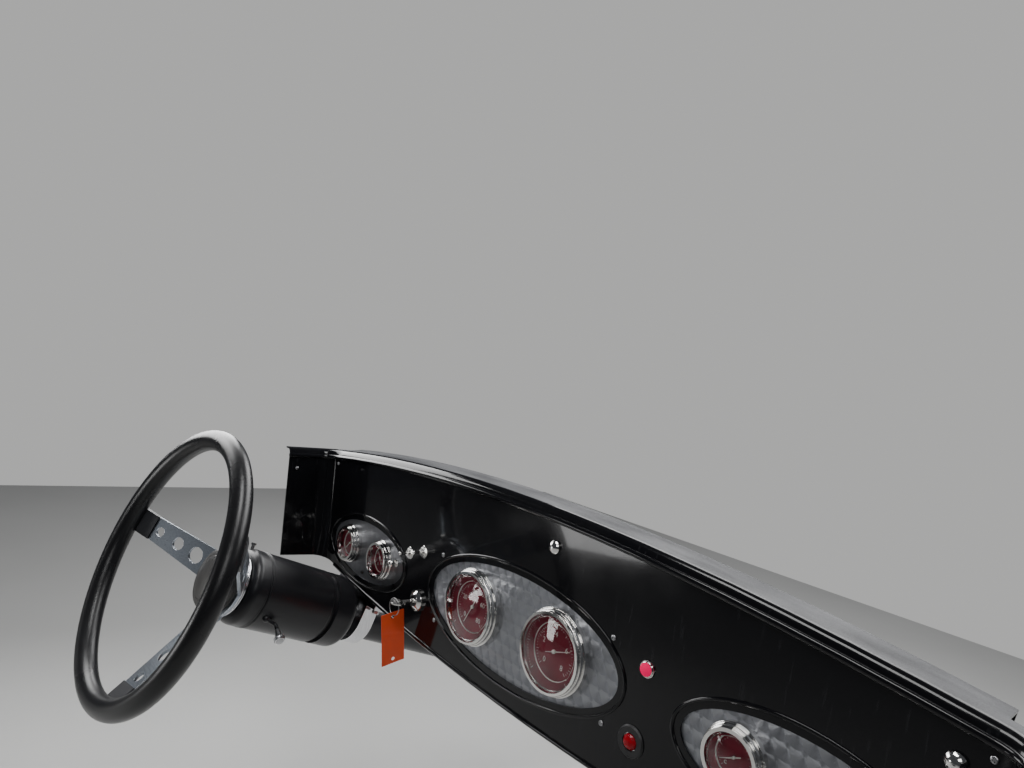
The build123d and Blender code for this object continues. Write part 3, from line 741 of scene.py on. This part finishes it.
def pan_screw(radius, high):
    """Pan head with a cross recess."""
    shape = turned([(0, -1.0), (radius * 0.55, -1.0), (radius * 0.55, 0), (radius, 0),
                    (radius, high * 0.35), (radius * 0.93, high * 0.62),
                    (radius * 0.78, high * 0.83), (radius * 0.5, high * 0.96), (0, high)], 28)
    half, reach = radius * 0.22, radius * 0.62
    arm = [(half, reach), (half, half), (reach, half)]
    cross = (arm + [(x, -y) for x, y in arm[::-1]] + [(-x, -y) for x, y in arm]
             + [(-x, y) for x, y in arm[::-1]])
    return cut(shape, plate(cross, high * 0.42, high * 1.5))


def hexagon(across):
    """Outline of a hexagon from its width over flats."""
    return polygon(6, across / 2 / cos(pi / 6))


def hex_nut(across, high, bore=0.0):
    """Hexagon nut with its corners turned off, blind where it has no bore."""
    shape = plate(hexagon(across), 0, high)
    round_edges(shape, min(across, high) * 0.06, 20.0)
    if bore:
        shape = cut(shape, turned([(0, -1), (bore, -1), (bore, high + 1), (0, high + 1)], 24))
    return shape


def cap_bolt(across, high):
    """Hexagon bolt head on its washer face."""
    head = plate(hexagon(across), 0.6, high)
    round_edges(head, 0.5, 20.0)
    washer = turned([(0, 0), (across * 0.72, 0), (across * 0.72, 0.9), (across * 0.68, 1.2),
                     (0, 1.2)], 36)
    return gathered([as_mesh("head", head), as_mesh("washer", washer)])


def socket_screw(radius, high):
    """Round cap screw with a hexagon socket."""
    shape = turned([(0, -1.0), (radius * 0.9, -1.0), (radius, 0), (radius, high * 0.8),
                    (radius * 0.9, high), (0, high)], 32)
    return cut(shape, plate(polygon(6, radius * 0.58), high * 0.35, high * 1.5))


def lettering(label, high, place):
    """Plain numbers or a letter as a thin raised mesh."""
    curve = bpy.data.curves.new("label", "FONT")
    curve.body = label
    curve.size = high * MM
    curve.align_x = "CENTER"
    curve.align_y = "CENTER"
    curve.extrude = 0.04 * MM
    holder = linked("label", curve)
    mesh = evaluated(holder)
    bpy.data.objects.remove(holder)
    mesh.transform(place)
    return mesh


def bent_strap(points, wide, thick):
    """Strap bent through (x, z) points in millimetres, its width along Y."""
    sides = []
    for way in (-0.5, 0.5):
        row = []
        for i, (x, z) in enumerate(points):
            before = Vector(points[max(i - 1, 0)])
            after = Vector(points[min(i + 1, len(points) - 1)])
            here = Vector((x, z))
            first = (here - before).normalized() if i else (after - here).normalized()
            second = (after - here).normalized() if i < len(points) - 1 else first
            across = Vector((-(first.y + second.y), first.x + second.x)).normalized()
            square = Vector((-first.y, first.x))
            row.append(here + across * way * thick / max(across.dot(square), 0.3))
        sides.append(row)
    shape = plate([(p.x, p.y) for p in sides[0] + sides[1][::-1]], -wide / 2, wide / 2)
    shape.transform(Matrix.Rotation(pi / 2, 4, "X"))
    round_edges(shape, 0.35, 25.0)
    return shape


# Gauges

def gauge_glass(radius, roll, crown):
    """Lens whose edge rolls down to the bezel's seat."""
    seat, lip, steps, wall = 7.2, 10.6, 8, 1.5
    outside = [(radius, seat), (radius, lip)]
    for i in range(1, steps + 1):
        angle = radians(90 * i / steps)
        outside.append((radius - roll * (1 - cos(angle)), lip + roll * 0.42 * sin(angle)))
    rim, top = outside[-1]
    for i in range(1, steps + 1):
        outside.append((rim * (1 - i / steps), top + crown * (1 - (1 - i / steps) ** 2)))
    inside = [(max(r - wall, 0.0), z - 1.4) for r, z in outside[1:]]
    inside[0] = (radius - wall, seat)
    return turned(outside + inside[::-1], 96, closed=True)


def gauge_dials(size, kind, spots):
    """Raised outer ring of each dial, a white ring at its foot as a painted highlight, and the domed glass."""
    dial = kind["dial"]
    foot, edge = dial * 0.73, dial - 0.3
    flat, step, top = 0.9, 1.5, 4.4         # heights of the flat, the step and the ring's edge
    ring = turned([(foot, flat), (foot + 0.5, step), (edge, top), (edge, flat)], 96, closed=True)
    repeated(size + "_dial_steps", ring, spots, "dial_red")
    # White ring on the foot of the step: a painted highlight in place of the light on the step's lower edge
    line = turned([(foot - 0.1, 0.85), (foot + 0.2, 1.6), (foot + 0.75, 1.75),
                   (foot + 0.75, step), (foot + 0.4, 0.85)], 96, closed=True)
    repeated(size + "_dial_lines", line, spots, "needle_white")
    glass = gauge_glass(dial - kind["gap"], kind["roll"], kind["crown"])
    repeated(size + "_glasses_domed", glass, spots, "clear_glass",
             replaces=(size + "_gauge_glasses",), sharp=60)


def gauge_prints(size, kind, spots):
    """Marks and plain numbers or letters on the dials."""
    dial = kind["dial"] * MM
    start, sweep = radians(225), radians(270)
    # Number, how many to a long one; outer end, length and width as shares of the dial; height
    rows = ((kind["marks"], kind["to_long"], 0.665, 0.045, 0.0085, 0.86),
            (kind["ring_marks"], 10, 0.94, 0.05, 0.007, 4.12))
    prints = []
    for i, spot in enumerate(spots):
        for count, to_long, outer, length, width, height in rows:
            if count:
                mesh = grown(MARKS, bpy.data.meshes.new("marks"), Count=count,
                             Long_every=to_long, Start=start, Sweep=sweep, Outer=outer * dial,
                             Length=length * dial, Width=width * dial, Thickness=0.08 * MM,
                             Height=height * MM, Finish=finishes["needle_white"])
                mesh.transform(spot)
                prints.append(mesh)
        words = kind["words"][i % len(kind["words"])]
        for k, word in enumerate(words):
            if word:
                x, y = on_circle(0.45 * kind["dial"], start - sweep * k / (len(words) - 1))
                prints.append(lettering(word, 0.20 * kind["dial"], spot @ moved(x, y, 0.84)))
    mesh_piece(size + "_dial_prints", gathered(prints), "needle_white")


def gauge_needles(size, kind):
    """Thin pointers, each on a small hub."""
    dial = kind["dial"]
    tail, root, tip = -0.30 * dial, 0.05 * dial, 0.60 * dial
    pointer = plate([(tail, -0.42), (root, -0.55), (tip, -0.2), (tip, 0.2), (root, 0.55),
                     (tail, 0.42)], 1.9, 2.5)
    hub = turned([(0, 0.8), (0.055 * dial, 0.8), (0.055 * dial, 2.7), (0.04 * dial, 3.1),
                  (0, 3.2)], 28)
    places = [on_face(x, kind["rise"], 0, radians(angle))
              for x, angle in zip(kind["row"], kind["needles"])]
    repeated(size + "_needles_thin", gathered([as_mesh("pointer", pointer), as_mesh("hub", hub)]),
             places, "needle_white", replaces=(size + "_gauge_needles",))


def gauge_clamps(size, kind, spots):
    """Clamps behind the plate: a bent strap on each case, held by two nuts."""
    foot, seat = 7.0, -4.1                  # length of the strap's feet, back of the plate
    reach, back = kind["case"] + 2.5, -(kind["deep"] + 1.7)
    strap = [(-reach - foot, seat), (-reach, seat), (-reach, back), (reach, back),
             (reach, seat), (reach + foot, seat)]
    repeated(size + "_gauge_clamps", bent_strap(strap, 13.0, 1.5), spots, "steel")
    nuts = [spot @ moved(side * kind["case"] / 3, 0, back - 5.0)
            for spot in spots for side in (-1, 1)]
    repeated(size + "_clamp_nuts", hex_nut(8.0, 4.2, 2.5), nuts, "steel")


for size, kind in GAUGES.items():
    spots = [on_face(x, kind["rise"]) for x in kind["row"]]
    gauge_dials(size, kind, spots)
    gauge_prints(size, kind, spots)
    gauge_needles(size, kind)
    gauge_clamps(size, kind, spots)


# Lamps, screws, lock and key

def cut_jewel(radius):
    """Faceted lamp jewel: flat facets in three staggered rows round a small table."""
    sides = 12
    levels = ((1.0, -3.0), (1.0, 0.6), (0.93, 2.6), (0.68, 4.9), (0.30, 6.4))
    shape = bmesh.new()
    rows = [[shape.verts.new((x * MM, y * MM, height * MM))
             for x, y in polygon(sides, radius * share, pi / sides * (level % 2))]
            for level, (share, height) in enumerate(levels)]
    for level, (low, high) in enumerate(zip(rows, rows[1:])):
        for i in range(sides):
            j = (i + 1) % sides
            if level % 2 == 0:
                shape.faces.new((low[i], low[j], high[i]))
                shape.faces.new((low[j], high[j], high[i]))
            else:
                shape.faces.new((low[i], high[j], high[i]))
                shape.faces.new((low[i], low[j], high[j]))
    shape.faces.new(rows[-1])
    shape.faces.new(rows[0])
    bmesh.ops.recalc_face_normals(shape, faces=shape.faces)
    return shape


def ribbed_ring(name, inner, outer, high, count, depth, place):
    """Chromed ring with fine ribs cut round its outside."""
    outline = [on_circle(radius, tau * (i + share) / count) for i in range(count)
               for share, radius in ((0.0, outer - depth), (0.28, outer), (0.62, outer),
                                     (0.88, outer - depth))]
    bore = turned([(0, -1.0), (inner, -1.0), (inner, high + 1), (0, high + 1)], 64)
    shape = cut(plate(outline, 0.0, high), bore)
    shape.transform(place)
    return mesh_piece(name, shape, "chrome")


def split_ring():
    """Key ring of two close turns of round wire."""
    turns, steps, wire, radius, spread = 2.04, 132, 0.45, 11.0, 0.92
    sides = 10
    shape = bmesh.new()
    rows = []
    for i in range(steps + 1):
        turn = tau * turns * i / steps
        middle = Vector((radius * cos(turn), (i / steps - 0.5) * spread, radius * sin(turn)))
        out = Vector((cos(turn), 0, sin(turn)))
        rows.append([shape.verts.new((middle + (out * x + Vector((0, 1, 0)) * y) * wire) * MM)
                     for x, y in polygon(sides, 1.0)])
    for low, high in zip(rows, rows[1:]):
        for k in range(sides):
            shape.faces.new((low[k], low[(k + 1) % sides], high[(k + 1) % sides], high[k]))
    shape.faces.new(rows[0][::-1])
    shape.faces.new(rows[-1])
    bmesh.ops.recalc_face_normals(shape, faces=shape.faces)
    shape.transform(Matrix.Translation(ring_middle))
    return shape


def blank_tag():
    """Card tag with two punched holes, a slight curl and a crease, hung on the key ring."""
    wide, tall, thick, hole = 33.6, 70.4, 0.7, 2.5
    above = 6.0                 # card above the upper hole's middle, and below the lower one's
    overlap = 1.2               # top of the hole over the ring's lowest point
    swing = radians(11.0)
    across, down = 18, 34
    shape = bmesh.new()
    grids = []
    for face_side in (-1, 1):
        grid = []
        for j in range(down + 1):
            v = above - tall * j / down
            row = []
            for i in range(across + 1):
                u = wide * (i / across - 0.5)
                bow = 0.9 * sin(pi * (v + tall - above) / tall) * cos(2.2 * u / wide)
                curl = bow + 0.5 * (u / wide) ** 2
                crease = 0.35 * max(0.0, 1.0 - abs(v + 24.0 + 0.25 * u) / 2.4)
                depth = face_side * thick / 2 + curl - crease
                row.append(shape.verts.new((depth * MM, u * MM, v * MM)))
            grid.append(row)
        grids.append(grid)
    for grid in grids:
        for j in range(down):
            for i in range(across):
                shape.faces.new((grid[j][i], grid[j][i + 1], grid[j + 1][i + 1], grid[j + 1][i]))
    back, front = grids
    rim = ([(0, i) for i in range(across)] + [(j, across) for j in range(down)]
           + [(down, i) for i in range(across, 0, -1)] + [(j, 0) for j in range(down, 0, -1)])
    for (j, i), (j2, i2) in zip(rim, rim[1:] + rim[:1]):
        shape.faces.new((back[j][i], back[j2][i2], front[j2][i2], front[j][i]))
    bmesh.ops.recalc_face_normals(shape, faces=shape.faces)
    for v in (0.0, 2 * above - tall):
        punch = turned([(0, -4), (hole, -4), (hole, 4), (0, 4)], 28)
        punch.transform(moved(0, 0, v) @ Matrix.Rotation(pi / 2, 4, "Y"))
        shape = cut(shape, punch)
    hung = Vector(((tag_low.x + tag_high.x) / 2, ring_middle.y,
                   ring_low.z + (overlap - hole) * MM))
    shape.transform(Matrix.Translation(hung) @ Matrix.Rotation(swing, 4, "X"))
    return shape


jewel = cut_jewel(JEWEL_RADIUS)
jewel.transform(on_face(*JEWEL_AT))
mesh_piece("jewel_faceted", jewel, "dark_lens", replaces=("jewel_lamp_lens",), sharp=5)
pilot = turned([(0, -2.0), (4.6, -2.0), (4.6, 3.0), (6.2, 3.1), (6.3, 3.5), (6.1, 4.2),
                (5.3, 5.0), (4.0, 5.7), (2.4, 6.2), (0, 6.4)], 48)
pilot.transform(on_face(*PILOT_AT))
mesh_piece("pilot_lens_domed", pilot, "red_lens", replaces=("pilot_lamp_lens",))

face_screws = [on_face(across, up, 0, turn) for across, up, turn in FACE_SCREWS_AT]
face_screws += [facing((side * x, y, z), (side * a, b, c), turn)
                for (x, y, z), (a, b, c), turn in BEND_SCREWS for side in (-1, 1)]
repeated("face_screws", pan_screw(2.7, 1.7), face_screws, "steel")
repeated("plate_screws", socket_screw(2.6, 2.2),
         [on_face(across, up, -2.0) for across, up in PLATE_SCREWS_AT], "gauge_black")

ribbed_ring("lock_knurl", 13.05, 14.2, 3.4, 48, 0.35, on_face(*LOCK_AT))
softened("ignition_lock", "chrome", 0.5)
softened("dash_switches", "chrome", 0.25, limit=35.0)
ribbed_ring("pilot_lamp_nut", 7.15, 8.0, 1.6, 36, 0.25, on_face(*PILOT_AT))
washer = turned([(4.1, 0), (8.0, 0), (8.0, 0.5), (7.7, 0.8), (4.1, 0.8)], 48, closed=True)
repeated("switch_washers", washer, [on_face(*spot) for spot in SWITCHES_AT], "chrome")
softened("ignition_key", "chrome", 0.5)
mesh_piece("key_ring_split", split_ring(), "steel", replaces=("key_ring",))
mesh_piece("key_tag_card", blank_tag(), "tag_orange", replaces=("key_tag",), sharp=50)


# Column and its drop

softened("column_drop", "polished_alloy", 0.8)
softened("tilt_lever", "column_black", 0.2, limit=35.0)
softened("tilt_lever_knob", "steel", 0.4, limit=25.0)
seam = turned([(50.45, -0.9), (50.9, -0.6), (50.9, 0.6), (50.45, 0.9)], 96, closed=True)
repeated("column_seams", seam, [on_column(distance) for distance in SEAMS_AT], "column_black",
         size=0.9985)
repeated("cowl_bolts", cap_bolt(10.0, 6.0),
         [facing((x, COWL_FACE_Y, z), (0, -1, 0), 0.3 * i) for i, (x, z) in enumerate(COWL_BOLTS)],
         "steel")
drop_bolts = [on_column(DROP_BAR) @ moved(side * 48.0, 26.0, 0) @ Matrix.Rotation(pi / 2, 4, "X")
              for side in (-1, 1)]
repeated("drop_bolts", cap_bolt(10.0, 6.0), drop_bolts, "steel")


# Steering wheel

grip = turned([(RIM_RADIUS + x, y) for x, y in polygon(40, GRIP_RADIUS)], 192, closed=True)
grip.transform(on_column(0.0))
mesh_piece("wheel_grip_moulded", grip, "grip_black", "wheel", ("wheel_grip",))
softened("wheel_spokes", "spoke_alloy", 0.7, "wheel")
softened("grip_sleeves", "sleeve_grey", 0.5, "wheel")
cap = turned([(0, 0), (40.5, 0), (40.5, 2.0), (39.6, 2.9), (38.6, 3.2), (38.6, 19.5),
              (38.1, 21.4), (36.6, 23.0), (34.0, 24.3), (30.6, 25.4), (29.8, 25.3), (29.2, 24.9),
              (28.6, 25.3), (27.9, 26.1), (22, 27.7), (14, 29.1), (7, 29.8), (0, 30.0)], 96)
cap.transform(on_column(DISC_NEAR))
mesh_piece("horn_cap_turned", cap, "cap_grey", "wheel", ("horn_cap",), sharp=40)
adapter = turned([(9.6, -7.0), (41.0, -7.0), (42.0, -6.0), (42.0, -5.0), (40.6, -4.5),
                  (40.6, -2.7), (42.0, -2.2), (42.0, -0.8), (41.2, 0.0), (9.6, 0.0)],
                 96, closed=True)
adapter.transform(on_column(DISC_FAR))
mesh_piece("hub_adapter_turned", adapter, "polished_alloy", "wheel", ("hub_adapter",))
hub_screws = [on_column(DISC_NEAR, tau * i / 6) @ moved(HUB_SCREWS_RADIUS, 0, 0)
              for i in range(6)]
repeated("hub_screws", socket_screw(2.2, 1.9), hub_screws, "steel", "wheel")
hub_nuts = [on_column(DISC_FAR, tau * (i + 0.5) / 6) @ moved(HUB_NUTS_RADIUS, 0, 0)
            @ Matrix.Rotation(pi, 4, "X") for i in range(6)]
repeated("hub_back_nuts", hex_nut(3.6, 2.0), hub_nuts, "chrome", "wheel")


# Stage: floor, backdrop, lights and camera

def lay_floor():
    """Pale floor under the model."""
    bpy.ops.mesh.primitive_plane_add(size=FLOOR_SIZE, location=(0, 0, FLOOR_Z))
    floor = bpy.context.object
    floor.name = "Floor"
    made, tree, shader = material("Pale floor", (0.50, 0.50, 0.49), 0.7)
    feed(tree, shader,
         Base_Color=mixed(tree, noise(tree, 3.0), (0.48, 0.48, 0.47), (0.53, 0.53, 0.52)))
    floor.data.materials.append(made)


def hang_backdrop():
    """Pale backdrop for the camera, with a dim sky for the light."""
    world = bpy.data.worlds.new("Studio")
    world.use_nodes = True
    tree = world.node_tree
    dim = tree.nodes["Background"]
    dim.inputs["Color"].default_value = (0.80, 0.84, 0.92, 1)
    dim.inputs["Strength"].default_value = 0.07
    pale = add_node(tree, "ShaderNodeBackground", Color=(0.86, 0.86, 0.85, 1), Strength=0.55)
    seen = add_node(tree, "ShaderNodeLightPath").outputs["Is Camera Ray"]
    both = add_node(tree, "ShaderNodeMixShader", Fac=seen, i1=dim.outputs[0], i2=pale.outputs[0])
    tree.links.new(both.outputs[0], tree.nodes["World Output"].inputs["Surface"])
    bpy.context.scene.world = world


def set_lights():
    """Soft rectangular lights, each turned to its aim."""
    for name, place, aim, wide, high, power in LIGHTS:
        lamp = bpy.data.lights.new(name, "AREA")
        lamp.shape = "RECTANGLE"
        lamp.size = wide
        lamp.size_y = high
        lamp.energy = power
        holder = linked(name, lamp)
        holder.location = place
        holder.rotation_euler = (Vector(aim) - Vector(place)).to_track_quat("-Z", "Y").to_euler()


def set_camera():
    """Camera at the photograph's viewing angle."""
    eye = bpy.data.cameras.new("Photograph")
    eye.lens = LENS
    eye.sensor_width = 36.0
    eye.clip_start = 0.01
    holder = linked("Photograph", eye)
    up = -VIEW_DOWN
    axes = Matrix((VIEW_RIGHT, up, VIEW_RIGHT.cross(up))).transposed()
    holder.matrix_world = Matrix.Translation(EYE) @ axes.to_4x4()
    bpy.context.scene.camera = holder


lay_floor()
hang_backdrop()
set_lights()
set_camera()
